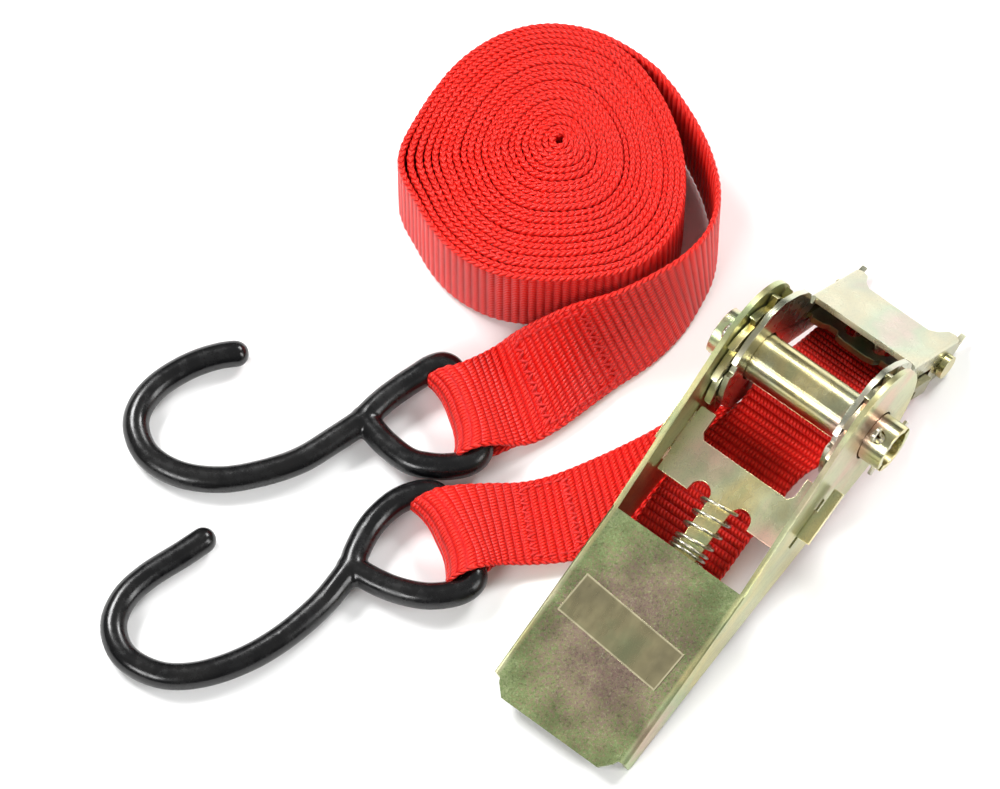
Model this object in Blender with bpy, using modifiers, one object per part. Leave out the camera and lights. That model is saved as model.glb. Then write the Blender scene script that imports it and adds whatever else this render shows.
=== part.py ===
"""A 25 mm ratchet tie down: a sheet-steel ratchet on a short hook strap, and a long hook strap rolled up
beside it. Metres, +Z up. It all lies on the plane Z = 0, with the origin under the middle of the box.

Two local frames share the axle's centre. In both, X runs along the axle. In the handle's, Y points from the
grip to the axle and Z out of the grip plate; in the frame's, Y points from the axle to the strap pin and Z
out of the frame's web."""

from math import acos, asin, cos, degrees, hypot, pi, radians, sin

import bmesh
import bpy
from mathutils import Matrix, Vector

MM = 0.001
GAP = 0.3 * MM

# Where everything stands, before the box is centred on the origin
BOX_CENTRE = Vector((8.5, -5.3, 0)) * MM
AXLE = Vector((68.6, -10.9, 26.0)) * MM
YAW = radians(-38)
HANDLE_TILT = radians(18.8)
FRAME_TILT = radians(-41.2)

# Axle and ratchet wheels
AXLE_RADIUS = 5.9 * MM
AXLE_BORE = 4.4 * MM
AXLE_HALF_LENGTH = 24 * MM
SLOT_HALF = 1.0 * MM
KEY_HALF = 0.7 * MM
BEARING_RADIUS = 6.3 * MM
TEETH = 12
TOOTH_PHASE = radians(12.5)
WHEEL_TIP = 16.4 * MM
WHEEL_ROOT = 13.2 * MM
WHEEL_INNER_X = 15.0 * MM
WHEEL_SHEET = 1.7 * MM
COTTER_X = 20.6 * MM
COTTER_HOLE = 1.6 * MM
COTTER_WIRE = 0.55 * MM

# Frame
FRAME_HALF_WIDTH = 14.7 * MM
FRAME_SHEET = 1.4 * MM
FRAME_WEB_TOP = 10.5 * MM
FRAME_DISC = 13.9 * MM
PIN_Y = 39.0 * MM
PIN_Z = 5.0 * MM
PIN_RADIUS = 2.2 * MM

# Handle
HANDLE_HALF_WIDTH = 18.3 * MM
HANDLE_SHEET = 1.3 * MM
HANDLE_WEB_TOP = 10.5 * MM
WINDOW_EDGE = -46.3 * MM
GRIP_END = -95.6 * MM
EAR_RADIUS = 17.2 * MM
EAR_CENTRE = Vector((-0.5, 1.8)) * MM

# Pawls: flat plates, sliding toward the axle
PAWL_SHEET = 1.5 * MM
DRIVE_PAWL_Z = 3.0 * MM
STATIC_PAWL_Z = 4.5 * MM
SLOT_CLEARANCE = 0.45 * MM

# Hooks and webbing
WIRE_RADIUS = 3.1 * MM
HOOK_BOW_Z = 3.15 * MM
EYE_BAR_Z = 5.0 * MM
WEBBING = 1.3 * MM
LOOP_RADIUS = WIRE_RADIUS + GAP + WEBBING / 2
PIN_LOOP_RADIUS = PIN_RADIUS + GAP + WEBBING / 2
LOOP_HALF_WIDTH = 8.4 * MM
STRAP_HALF_WIDTH = 12.5 * MM
COIL_LOW = 0.2 * MM
UNDERLAY_DROP = WEBBING + GAP + 0.1 * MM

COLOURS = {
    "zinc": ((0.72, 0.69, 0.52), 0.34, 1.0),
    "zinc_dark": ((0.42, 0.43, 0.30), 0.38, 1.0),
    "spring_steel": ((0.70, 0.68, 0.58), 0.28, 1.0),
    "label": ((0.62, 0.60, 0.42), 0.30, 0.0),
    "webbing": ((0.78, 0.02, 0.02), 0.75, 0.0),
    "thread": ((0.60, 0.01, 0.01), 0.80, 0.0),
    "vinyl": ((0.015, 0.015, 0.015), 0.30, 0.0),
}


def clear_scene():
    for obj in list(bpy.data.objects):
        bpy.data.objects.remove(obj)


def collection(name):
    made = bpy.data.collections.new(name)
    bpy.context.scene.collection.children.link(made)
    return made


def material(name):
    if name in bpy.data.materials:
        return bpy.data.materials[name]
    colour, roughness, metallic = COLOURS[name]
    made = bpy.data.materials.new(name)
    made.use_nodes = True
    shader = made.node_tree.nodes["Principled BSDF"]
    shader.inputs["Base Color"].default_value = (*colour, 1)
    shader.inputs["Roughness"].default_value = roughness
    shader.inputs["Metallic"].default_value = metallic
    made.diffuse_color = (*colour, 1)
    return made


def empty(name, parent, matrix):
    made = bpy.data.objects.new(name, None)
    parts.objects.link(made)
    made.parent = parent
    made.matrix_local = matrix
    return made


def add(name, mesh, finish, parent, smooth=False):
    mesh.name = name
    mesh.materials.clear()
    mesh.materials.append(material(finish))
    if smooth:
        mesh.shade_smooth()
        mesh.set_sharp_from_angle(angle=radians(35))
    made = bpy.data.objects.new(name, mesh)
    parts.objects.link(made)
    made.parent = parent
    return made


def make_helper(obj):
    """A cutter, or a shape joined to another: it is kept for the Boolean but isn't a piece."""
    parts.objects.unlink(obj)
    helpers.objects.link(obj)
    obj.hide_render = True
    obj.display_type = "WIRE"


def boolean(obj, other, operation):
    made = obj.modifiers.new(other.name, "BOOLEAN")
    made.operation = operation
    made.object = other
    if other.name in parts.objects:
        make_helper(other)


def mesh_of_curve(curve):
    """The closed mesh of a curve, with its caps welded on."""
    holder = bpy.data.objects.new(curve.name, curve)
    parts.objects.link(holder)
    graph = bpy.context.evaluated_depsgraph_get()
    mesh = bpy.data.meshes.new_from_object(holder.evaluated_get(graph))
    bpy.data.objects.remove(holder)
    shape = bmesh.new()
    shape.from_mesh(mesh)
    bmesh.ops.remove_doubles(shape, verts=shape.verts, dist=1e-6)
    bmesh.ops.recalc_face_normals(shape, faces=shape.faces)
    shape.to_mesh(mesh)
    shape.free()
    return mesh


def sheet_mesh(name, outlines, low, high, axis="Z"):
    """A flat plate between low and high along the axis, with an edge outline and then its holes."""
    curve = bpy.data.curves.new(name, "CURVE")
    curve.dimensions = "2D"
    curve.fill_mode = "BOTH"
    curve.extrude = (high - low) / 2
    for outline in outlines:
        spline = curve.splines.new("POLY")
        spline.points.add(len(outline) - 1)
        spline.use_cyclic_u = True
        for point, (u, v) in zip(spline.points, outline):
            point.co = (u, v, 0, 1)
    mesh = mesh_of_curve(curve)
    mesh.transform(Matrix.Translation((0, 0, (low + high) / 2)))
    if axis == "X":
        mesh.transform(Matrix(((0, 0, 1, 0), (1, 0, 0, 0), (0, 1, 0, 0), (0, 0, 0, 1))))
    return mesh


def box_mesh(low, high):
    low, high = Vector(low), Vector(high)
    shape = bmesh.new()
    size = Matrix.Diagonal((*(high - low), 1))
    bmesh.ops.create_cube(shape, size=1, matrix=Matrix.Translation((low + high) / 2) @ size)
    mesh = bpy.data.meshes.new("box")
    shape.to_mesh(mesh)
    shape.free()
    return mesh


def rod_mesh(radius, start, end, sides=24):
    """A cylinder between two points."""
    start, end = Vector(start), Vector(end)
    turn = (end - start).to_track_quat("Z", "Y").to_matrix().to_4x4()
    shape = bmesh.new()
    bmesh.ops.create_cone(
        shape,
        cap_ends=True,
        segments=sides,
        radius1=radius,
        radius2=radius,
        depth=(end - start).length,
        matrix=Matrix.Translation((start + end) / 2) @ turn,
    )
    mesh = bpy.data.meshes.new("rod")
    shape.to_mesh(mesh)
    shape.free()
    return mesh


def arc(centre, radius, start, end, steps):
    """Points on an arc, from one angle to another in degrees."""
    turns = [radians(start + (end - start) * i / steps) for i in range(steps + 1)]
    return [(centre[0] + radius * cos(t), centre[1] + radius * sin(t)) for t in turns]


def circle(centre, radius, sides=32):
    return arc(centre, radius, 0, 360 - 360 / sides, sides - 1)


def scaled(points):
    return [(u * MM, v * MM) for u, v in points]


def mirrored(half):
    """An outline that is the same on both sides of X = 0, from its right half."""
    return half + [(-u, v) for u, v in reversed(half)]


def smooth_path(points, steps, closed=False):
    """Points along a smooth curve through the given ones (Catmull-Rom)."""
    count = len(points)
    path = []
    spans = count if closed else count - 1
    for i in range(spans):
        if closed:
            a, b, c, d = (points[(i + k) % count] for k in (-1, 0, 1, 2))
        else:
            a, b, c, d = (points[min(max(i + k, 0), count - 1)] for k in (-1, 0, 1, 2))
        for step in range(steps):
            t = step / steps
            bend, twist = 2 * a - 5 * b + 4 * c - d, 3 * b - a - 3 * c + d
            path.append(0.5 * (2 * b + (c - a) * t + bend * t**2 + twist * t**3))
    if not closed:
        path.append(points[-1])
    return path


def wire_mesh(name, path, radius, closed=False, resolution=2, tip=()):
    """A round wire along the path. The tip is the share of the radius at each of the first points."""
    curve = bpy.data.curves.new(name, "CURVE")
    curve.dimensions = "3D"
    curve.bevel_depth = radius
    curve.bevel_resolution = resolution
    curve.use_fill_caps = True
    spline = curve.splines.new("POLY")
    spline.points.add(len(path) - 1)
    spline.use_cyclic_u = closed
    for point, place in zip(spline.points, path):
        point.co = (*place, 1)
    for point, share in zip(spline.points, tip):
        point.radius = share
    return mesh_of_curve(curve)


def ribbon(name, edges, finish, parent):
    """Webbing through pairs of edge points, given thickness on both sides of its middle surface."""
    shape = bmesh.new()
    rows = []
    for left, right in edges:
        rows.append([shape.verts.new(left.lerp(right, t)) for t in (0, 1 / 3, 2 / 3, 1)])
    for first, second in zip(rows, rows[1:]):
        for i in range(3):
            shape.faces.new((first[i], first[i + 1], second[i + 1], second[i]))
    mesh = bpy.data.meshes.new(name)
    shape.to_mesh(mesh)
    shape.free()
    made = add(name, mesh, finish, parent, smooth=True)
    skin = made.modifiers.new("thickness", "SOLIDIFY")
    skin.thickness = WEBBING
    skin.offset = 0
    skin.use_even_offset = True
    return made


def smooth_edges(stations, steps):
    """Edge pairs along a strap, smooth between its stations."""
    left = smooth_path([a for a, _ in stations], steps)
    right = smooth_path([b for _, b in stations], steps)
    return list(zip(left, right))


def station(left, right):
    return Vector(left) * MM, Vector(right) * MM


def below(stations, drop):
    """The same stations, moved under the strap's own surface."""
    moved = []
    for i, (left, right) in enumerate(stations):
        before = stations[max(i - 1, 0)]
        after = stations[min(i + 1, len(stations) - 1)]
        along = (after[0] + after[1]) - (before[0] + before[1])
        normal = (right - left).cross(along).normalized()
        if normal.z < 0:
            normal = -normal
        moved.append((left - drop * normal, right - drop * normal))
    return moved


def wrap(centre, across, half_width, radius, start, end, steps):
    """Stations around a bar, from one angle to another; 180 degrees is the side away from the strap."""
    out = Vector((-across.y, across.x, 0))
    stations = []
    for i in range(steps + 1):
        turn = radians(start + (end - start) * i / steps)
        middle = centre + radius * (cos(turn) * out + sin(turn) * Vector((0, 0, 1)))
        stations.append((middle - half_width * across, middle + half_width * across))
    return stations


def wheel_outline():
    """Saw teeth: each rises from the root to the tip and drops back along a radius."""
    pitch = 2 * pi / TEETH
    outline = []
    for tooth in range(TEETH):
        face = TOOTH_PHASE + tooth * pitch
        outline.append((WHEEL_ROOT * cos(face), WHEEL_ROOT * sin(face)))
        for share in (0.33, 0.66, 0.93):
            radius = WHEEL_ROOT + (WHEEL_TIP - WHEEL_ROOT) * share
            turn = face + pitch * share
            outline.append((radius * cos(turn), radius * sin(turn)))
        tip = face + pitch - radians(0.2)
        outline.append((WHEEL_TIP * cos(tip), WHEEL_TIP * sin(tip)))
    return outline


def half_moon(outer, inner, half_gap):
    """The section of one axle half: a half ring cut off at the slot. Inner 0 gives a full half disc."""
    rise = degrees(asin(half_gap / outer))
    outline = arc((0, 0), outer, rise, 180 - rise, 16)
    if inner:
        rise = degrees(asin(half_gap / inner))
        outline += arc((0, 0), inner, 180 - rise, rise, 12)
    return outline


def build_spool(parent):
    section = half_moon(AXLE_RADIUS, AXLE_BORE, SLOT_HALF)
    for name, turn in (("axle_half_upper", 0), ("axle_half_lower", pi)):
        mesh = sheet_mesh(name, [section], -AXLE_HALF_LENGTH, AXLE_HALF_LENGTH, "X")
        mesh.transform(Matrix.Rotation(turn, 4, "X"))
        half = add(name, mesh, "zinc", parent, smooth=True)
        for side in (-1, 1):
            x = side * COTTER_X
            hole = add(
                f"{name}_cotter_cutter_{side + 1}",
                rod_mesh(COTTER_HOLE, (x, 0, -9 * MM), (x, 0, 9 * MM), 16),
                "zinc",
                parent,
            )
            boolean(half, hole, "DIFFERENCE")
    bore = half_moon(AXLE_RADIUS + GAP, 0, KEY_HALF)
    bores = [bore, [(-y, -z) for y, z in bore]]
    wheels = (
        ("ratchet_wheel_left", -WHEEL_INNER_X - WHEEL_SHEET),
        ("ratchet_wheel_right", WHEEL_INNER_X),
    )
    for name, low in wheels:
        mesh = sheet_mesh(name, [wheel_outline(), *bores], low, low + WHEEL_SHEET, "X")
        add(name, mesh, "zinc", parent)
    for name, side in (("cotter_pin_left", -1), ("cotter_pin_right", 1)):
        add(name, cotter_mesh(name, side * COTTER_X), "spring_steel", parent, smooth=True)


def cotter_mesh(name, x):
    """A split pin: an eye above the axle, two legs through it, and their ends spread below."""
    leg, eye, eye_z, under = 0.75 * MM, 1.5 * MM, 8.6 * MM, -6.9 * MM
    front = [(leg, 6.6 * MM), (leg, 0), (leg, under), (3.2 * MM, -8.6 * MM), (7.2 * MM, -9.6 * MM)]
    back = [(-y, z) for y, z in reversed(front)]
    outline = back + arc((0, eye_z), eye, 215, -35, 8) + front
    return wire_mesh(name, [Vector((x, y, z)) for y, z in outline], COTTER_WIRE, resolution=1)


def frame_side_outline():
    """The side plate: a bearing disc with a cam above it and a locking notch, and a shallow far end."""
    lower = scaled([(14.0, -1.9), (36.0, 0.2), (40.2, 0.8), (44.2, 4.2)])
    far_end = scaled([(45.6, 7.2), (47.4, 10.2), (45.6, 9.4), (44.0, 9.0), (43.2, 10.5)])
    near_end = scaled([(19.5, 10.5), (18.4, 9.0)])
    cam = scaled([(16.9, 9.7), (14.4, 12.9), (11.6, 14.3), (5.6, 15.4), (-1.6, 15.5), (-7.0, 13.3)])
    back = arc((0, 0), FRAME_DISC, 130, 174, 5)
    notch = arc((0, 0), FRAME_DISC - 1.6 * MM, 176, 186, 2)
    underside = arc((0, 0), FRAME_DISC, 188, 350, 16)
    return lower + far_end + near_end + cam + back + notch + underside


def frame_web_outline():
    """A plate with a wide bay in its far edge, between two short horns."""
    horn = scaled([(14.7, 43.2), (13.2, 44.2), (11.4, 43.6), (10.2, 40.4), (8.4, 38.4)])
    return mirrored(scaled([(14.7, 19.5)]) + horn)


def lug_with_hole(name, low, high, hole_low, hole_high, parent):
    lug = add(name, box_mesh(low, high), "zinc", parent)
    hole = add(f"{name}_hole_cutter", box_mesh(hole_low, hole_high), "zinc", parent)
    boolean(lug, hole, "DIFFERENCE")
    return lug


def build_frame(parent):
    inner = FRAME_HALF_WIDTH - FRAME_SHEET
    web_low = FRAME_WEB_TOP - FRAME_SHEET
    web = sheet_mesh("frame", [frame_web_outline()], web_low, FRAME_WEB_TOP)
    frame = add("frame", web, "zinc", parent)
    pin_hole = circle((PIN_Y, PIN_Z), PIN_RADIUS + GAP, 20)
    outlines = [frame_side_outline(), circle((0, 0), BEARING_RADIUS), pin_hole]
    for name, low in (("frame_side_left", -FRAME_HALF_WIDTH), ("frame_side_right", inner)):
        plate = sheet_mesh(name, outlines, low, low + FRAME_SHEET, "X")
        boolean(frame, add(name, plate, "zinc", parent), "UNION")
    half = PAWL_SHEET / 2 + SLOT_CLEARANCE
    slot_low = (-20 * MM, 19.3 * MM, STATIC_PAWL_Z - half)
    slot_high = (20 * MM, 32.6 * MM, STATIC_PAWL_Z + half)
    slot = add("frame_slot_cutter", box_mesh(slot_low, slot_high), "zinc", parent)
    lug = lug_with_hole(
        "frame_lug",
        (-4.2 * MM, 29.6 * MM, 2.2 * MM),
        (4.2 * MM, 30.6 * MM, web_low + 0.4 * MM),
        (-2.5 * MM, 29 * MM, STATIC_PAWL_Z - half),
        (2.5 * MM, 31 * MM, STATIC_PAWL_Z + half),
        parent,
    )
    boolean(frame, slot, "DIFFERENCE")
    boolean(frame, lug, "UNION")
    build_strap_pin(parent)


def build_strap_pin(parent):
    """A plain pin with a wide head on the right, spread over the frame on the left."""
    reach = FRAME_HALF_WIDTH + GAP
    pin = add(
        "strap_pin",
        rod_mesh(PIN_RADIUS, (-reach - 0.6 * MM, PIN_Y, PIN_Z), (reach + 0.6 * MM, PIN_Y, PIN_Z)),
        "zinc",
        parent,
        smooth=True,
    )
    ends = (("head", 1, 3.0 * MM, 1.5 * MM), ("spread", -1, 2.8 * MM, 1.1 * MM))
    for name, side, radius, depth in ends:
        start = (side * reach, PIN_Y, PIN_Z)
        end = (side * (reach + depth), PIN_Y, PIN_Z)
        disc = add(f"strap_pin_{name}", rod_mesh(radius, start, end), "zinc", parent)
        boolean(pin, disc, "UNION")


def handle_side_outline():
    """The side plate: shallow at the grip, with an ear round the axle."""
    grip = scaled([(-91.6, 10.5), (-92.2, 4.3), (-90.8, 3.6), (-75.0, 1.3)])
    belly = scaled([(-66.0, -0.4), (-45.0, -4.8), (-30.0, -8.4)])
    ear = arc(EAR_CENTRE, EAR_RADIUS, -112, 100.9, 26)
    return grip + belly + ear + [(WINDOW_EDGE, HANDLE_WEB_TOP)]


def handle_web_outline():
    """The grip plate, narrowing in steps at its end."""
    half = scaled([(18.3, -46.3), (18.3, -91.6), (16.4, -91.9), (15.9, -93.0), (13.4, -95.6)])
    return mirrored(half)


def build_handle(parent):
    web_low = HANDLE_WEB_TOP - HANDLE_SHEET
    inner = HANDLE_HALF_WIDTH - HANDLE_SHEET
    web = sheet_mesh("handle", [handle_web_outline()], web_low, HANDLE_WEB_TOP)
    handle = add("handle", web, "zinc_dark", parent)
    outlines = [handle_side_outline(), circle((0, 0), BEARING_RADIUS)]
    for name, low in (("handle_side_left", -HANDLE_HALF_WIDTH), ("handle_side_right", inner)):
        plate = sheet_mesh(name, outlines, low, low + HANDLE_SHEET, "X")
        boolean(handle, add(name, plate, "zinc", parent), "UNION")
    half = PAWL_SHEET / 2 + SLOT_CLEARANCE
    slot_low = (-20 * MM, -31.4 * MM, DRIVE_PAWL_Z - half)
    slot_high = (20 * MM, -18.1 * MM, DRIVE_PAWL_Z + half)
    slot = add("handle_slot_cutter", box_mesh(slot_low, slot_high), "zinc", parent)
    lug = lug_with_hole(
        "handle_lug",
        (-5.2 * MM, -48.2 * MM, -0.4 * MM),
        (5.2 * MM, -47.0 * MM, web_low + 0.4 * MM),
        (-3.3 * MM, -49 * MM, DRIVE_PAWL_Z - half),
        (3.3 * MM, -46 * MM, DRIVE_PAWL_Z + half),
        parent,
    )
    boolean(handle, slot, "DIFFERENCE")
    boolean(handle, lug, "UNION")
    label = box_mesh((-14.4 * MM, -5.2 * MM, 0.05 * MM), (14.4 * MM, 5.2 * MM, 0.2 * MM))
    label.transform(Matrix.Rotation(radians(-4.5), 4, "Z"))
    label.transform(Matrix.Translation((0, -68.3 * MM, HANDLE_WEB_TOP)))
    add("handle_label", label, "label", parent)


def drive_pawl_outline():
    """Arms at the wheels, wings through the handle's slots, round notches beside the spring, and a tongue."""
    arm = [(11.6, -22.8), (12.7, -21.4), (12.7, -16.6), (16.7, -16.6), (16.7, -21.2)]
    wing = [(19.0, -21.2), (19.0, -14.8), (21.4, -14.8), (21.4, -28.4), (16.7, -28.4)]
    back = [(16.7, -33.8), (8.3, -33.8)]
    notch = arc((5.6, -32.8), 2.6, 0, 180, 8)
    tongue = [(2.9, -33.4), (2.9, -52.4), (2.3, -53.4)]
    return mirrored(scaled(arm + wing + back + notch + tongue))


def static_pawl_outline():
    """The same idea, with its fingers outside the frame's sides."""
    near = [(3.2, 19.6), (5.2, 20.4), (6.0, 22.4), (8.2, 22.4), (9.6, 21.0), (12.4, 20.6), (12.9, 21.9)]
    fingers = [(15.1, 21.9), (15.1, 16.3), (16.6, 16.3), (16.6, 29.6), (6.4, 29.6), (6.0, 25.6)]
    notch = arc((3.7, 25.0), 1.3, 0, -180, 6)
    tongue = [(2.1, 25.6), (2.1, 32.4)]
    return mirrored(scaled(near + fingers + notch + tongue))


def pawl_mesh(name, outline, height):
    return sheet_mesh(name, [outline], height - PAWL_SHEET / 2, height + PAWL_SHEET / 2)


def build_pawls(handle_parent, frame_parent):
    drive = pawl_mesh("drive_pawl", drive_pawl_outline(), DRIVE_PAWL_Z)
    add("drive_pawl", drive, "zinc", handle_parent)
    plate = pawl_mesh("static_pawl", static_pawl_outline(), STATIC_PAWL_Z)
    static = add("static_pawl", plate, "zinc", frame_parent)
    for side in (-1, 1):
        flange = box_mesh((15.3 * MM, 22.4 * MM, 1.2 * MM), (16.6 * MM, 29.6 * MM, 4.2 * MM))
        flange.transform(Matrix.Diagonal((side, 1, 1, 1)))
        if side < 0:
            flange.flip_normals()
        boolean(static, add(f"static_pawl_flange_{side + 1}", flange, "zinc", frame_parent), "UNION")


def spring_mesh(name, radius, wire, start, tight, end, height, open_turns, tight_turns):
    """A coil along Y: open turns from start to tight, then close turns to the end."""
    per_turn = 10
    path = []
    for i in range(int(per_turn * (open_turns + tight_turns)) + 1):
        turn = i / per_turn
        if turn < open_turns:
            y = start + (tight - start) * turn / open_turns
        else:
            y = tight + (end - tight) * (turn - open_turns) / tight_turns
        path.append(Vector((radius * cos(2 * pi * turn), y, height + radius * sin(2 * pi * turn))))
    return wire_mesh(name, path, wire, resolution=2)


def build_springs(handle_parent, frame_parent):
    mesh = spring_mesh(
        "drive_pawl_spring",
        radius=4.4 * MM,
        wire=0.4 * MM,
        start=-32.1 * MM,
        tight=-43.3 * MM,
        end=-46.2 * MM,
        height=DRIVE_PAWL_Z,
        open_turns=3.5,
        tight_turns=2.5,
    )
    add("drive_pawl_spring", mesh, "spring_steel", handle_parent, smooth=True)
    mesh = spring_mesh(
        "static_pawl_spring",
        radius=2.95 * MM,
        wire=0.3 * MM,
        start=25.4 * MM,
        tight=27.6 * MM,
        end=29.1 * MM,
        height=STATIC_PAWL_Z,
        open_turns=1.5,
        tight_turns=1.5,
    )
    add("static_pawl_spring", mesh, "spring_steel", frame_parent, smooth=True)


def hook_path(points, bow_z, eye_z, bow_x, eye_x):
    """Hook points on their gently tilted plane: low at the bow, raised at the eye."""
    path = []
    for x, y in points:
        share = min(max((x - bow_x) / (eye_x - bow_x), 0), 1)
        path.append(Vector((x * MM, y * MM, bow_z + (eye_z - bow_z) * share)))
    return path


def build_hook(name, shank, eye, parent):
    """Bent wire: an open bow and shank, joined to a closed eye."""
    bow_x, eye_x = -60, -18
    bow = smooth_path(hook_path(shank, HOOK_BOW_Z, EYE_BAR_Z, bow_x, eye_x), 3)
    rounding = [bow[0].lerp(bow[1], t) for t in (0, 0.15, 0.45)]
    ring = smooth_path(hook_path(eye, HOOK_BOW_Z, EYE_BAR_Z, bow_x, eye_x), 2, closed=True)
    bow_mesh = wire_mesh(name, rounding + bow[1:], WIRE_RADIUS, resolution=4, tip=(0.5, 0.78, 0.96))
    hook = add(name, bow_mesh, "vinyl", parent, smooth=True)
    eye_mesh = wire_mesh(name, ring, WIRE_RADIUS, closed=True, resolution=4)
    boolean(hook, add(f"{name}_eye", eye_mesh, "vinyl", parent), "UNION")


LONG_SHANK = [
    (-57.0, 8.9), (-63.7, 8.2), (-71.0, 5.4), (-78.0, 0.4), (-81.8, -5.4), (-82.1, -11.2),
    (-79.0, -17.2), (-72.1, -21.4), (-63.1, -22.7), (-54.1, -21.3), (-45.1, -18.2), (-36.8, -12.8),
    (-30.6, -8.4),
]
LONG_EYE = [
    (-30.2, -8.0), (-26.4, -3.8), (-22.3, -0.5), (-18.6, 2.1), (-15.4, 4.3), (-12.4, 4.9),
    (-10.2, 2.5), (-7.4, -6.0), (-4.7, -14.3), (-4.8, -17.1), (-6.9, -19.2), (-10.6, -20.2),
    (-15.0, -20.2), (-20.3, -18.9), (-25.4, -14.8), (-29.0, -10.5),
]
SHORT_SHANK = [
    (-64.2, -35.8), (-70.6, -40.6), (-79.3, -46.7), (-84.4, -52.4), (-86.2, -59.2), (-83.3, -66.1),
    (-75.6, -70.3), (-66.7, -70.2), (-56.8, -66.7), (-47.9, -61.1), (-39.6, -53.4), (-33.4, -45.0),
]
SHORT_EYE = [
    (-32.8, -44.2), (-31.2, -38.8), (-28.2, -33.6), (-24.2, -29.6), (-20.6, -27.6), (-17.2, -26.8),
    (-14.8, -27.1), (-13.4, -28.9), (-9.8, -37.2), (-6.3, -45.4), (-5.9, -48.2), (-8.1, -50.5),
    (-12.2, -51.8), (-17.6, -51.9), (-24.0, -50.1), (-29.8, -47.1),
]
LONG_BAR = (Vector((-7.4, -6.0, EYE_BAR_Z / MM)) * MM, Vector((0.31, -0.95, 0)).normalized())
SHORT_BAR = (Vector((-9.8, -37.2, EYE_BAR_Z / MM)) * MM, Vector((0.395, -0.919, 0)).normalized())

# The rolled-up webbing's outline, from above
COIL = [
    (-22.5, 48.0), (-20.5, 55.0), (-16.0, 64.5), (-9.0, 73.5), (0.5, 80.0), (11.0, 82.5),
    (22.0, 80.5), (30.5, 75.0), (36.4, 67.0), (40.3, 58.5), (42.6, 50.0), (43.2, 40.5),
    (41.5, 31.0), (37.0, 23.6), (30.0, 18.4), (21.0, 16.2), (10.0, 15.6), (-1.5, 17.4),
    (-10.5, 22.5), (-16.5, 29.5), (-20.0, 37.5), (-22.0, 43.0),
]

# The strap from each hook, as (edge on the coil's or the axle's side, edge on the near side)
LONG_SEWN = [
    station((-1.6, 9.8, 4.4), (6.9, -12.6, 3.1)),
    station((3.6, 11.6, 9.0), (13.4, -9.2, 2.4)),
    station((9.6, 11.9, 15.8), (19.4, -5.2, 2.4)),
]
LONG_FREE = [
    station((16.4, 12.4, 21.4), (26.4, 1.0, 1.4)),
    station((25.8, 14.4, 23.6), (34.4, 7.2, 0.8)),
    station((34.4, 18.4, 24.4), (40.8, 14.0, 0.7)),
    station((42.0, 23.4, 25.0), (45.0, 21.0, 0.7)),
    station((47.4, 30.0, 25.2), (48.4, 29.0, 0.7)),
    station((49.4, 38.4, 25.4), (49.2, 37.8, 0.7)),
    station((47.9, 47.6, 25.5), (47.5, 47.4, 0.7)),
    station((44.4, 56.6, 25.5), (44.0, 56.6, 0.7)),
    station((39.5, 65.2, 25.5), (39.2, 65.2, 0.7)),
]
SHORT_SEWN = [
    station((-3.4, -24.8, 5.9), (0.8, -44.4, 4.8)),
    station((4.6, -23.6, 3.8), (8.2, -43.8, 3.6)),
    station((12.0, -21.2, 2.6), (16.4, -42.4, 2.6)),
]
SHORT_FREE = [
    station((22.0, -16.2, 1.3), (27.5, -38.6, 1.3)),
    station((32.0, -11.2, 1.8), (40.5, -33.6, 1.8)),
    station((41.5, -6.6, 4.2), (52.5, -28.8, 4.0)),
]

# Where the short strap passes under the axle, as (along the axle, behind it, height) of each edge
UNDER_AXLE = [
    ((-18.6, -8.5, 6.3), (5.0, -14.6, 8.2)),
    ((-13.8, -3.8, 8.9), (9.9, -7.1, 13.0)),
    ((-12.6, 1.5, 12.2), (12.3, -1.0, 15.8)),
]
FLAP = [
    ((-12.6, -7.5, 16.2), (11.6, -7.5, 16.4)),
    ((-14.4, -13.5, 13.2), (9.0, -13.5, 13.6)),
    ((-16.2, -21.0, 10.6), (8.2, -21.0, 11.2)),
    ((-16.4, -31.0, 8.3), (8.0, -31.0, 8.8)),
    ((-16.2, -41.0, 5.6), (8.1, -41.0, 6.4)),
    ((-15.4, -48.0, 3.8), (7.6, -48.0, 4.6)),
]
# The short strap across the frame, as (Y, Z) in the frame's own axes: to the pin, and back on top of itself
TO_PIN = [(15.0, -5.1), (25.0, -3.0), (30.0, -1.7), (33.2, -0.4), (36.2, 1.1)]
FROM_PIN = [(35.5, 3.9), (34.2, 2.3), (31.5, 0.7), (26.0, -1.0), (15.0, -3.3), (5.2, -5.6)]


def build_long_strap(parent):
    centre, across = LONG_BAR
    around = wrap(centre, across, LOOP_HALF_WIDTH, LOOP_RADIUS, -80, -300, 9)
    flap = below(LONG_SEWN, UNDERLAY_DROP)
    stations = list(reversed(flap[:2])) + around + LONG_SEWN + LONG_FREE
    ribbon("long_strap_tail", smooth_edges(stations, 2), "webbing", parent)
    outline = smooth_path([Vector(point) * MM for point in COIL], 3, closed=True)
    coil = sheet_mesh("long_strap_coil", [outline], COIL_LOW, COIL_LOW + 2 * STRAP_HALF_WIDTH)
    add("long_strap_coil", coil, "webbing", parent)
    build_stitches("long_strap_stitches", LONG_SEWN[1], LONG_SEWN[2], parent)


def across_frame(y, z):
    """A station of the short strap at one place along the frame, square to it."""
    turn = local_frame(FRAME_TILT)
    return turn @ Vector((-STRAP_HALF_WIDTH, y, z)), turn @ Vector((STRAP_HALF_WIDTH, y, z))


def beside_axle(left, right):
    """A station from edges measured along the axle, behind it, and up from the ground."""
    turn = Matrix.Translation((AXLE.x, AXLE.y, 0)) @ Matrix.Rotation(YAW, 4, "Z")
    return turn @ (Vector(left) * MM), turn @ (Vector(right) * MM)


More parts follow.
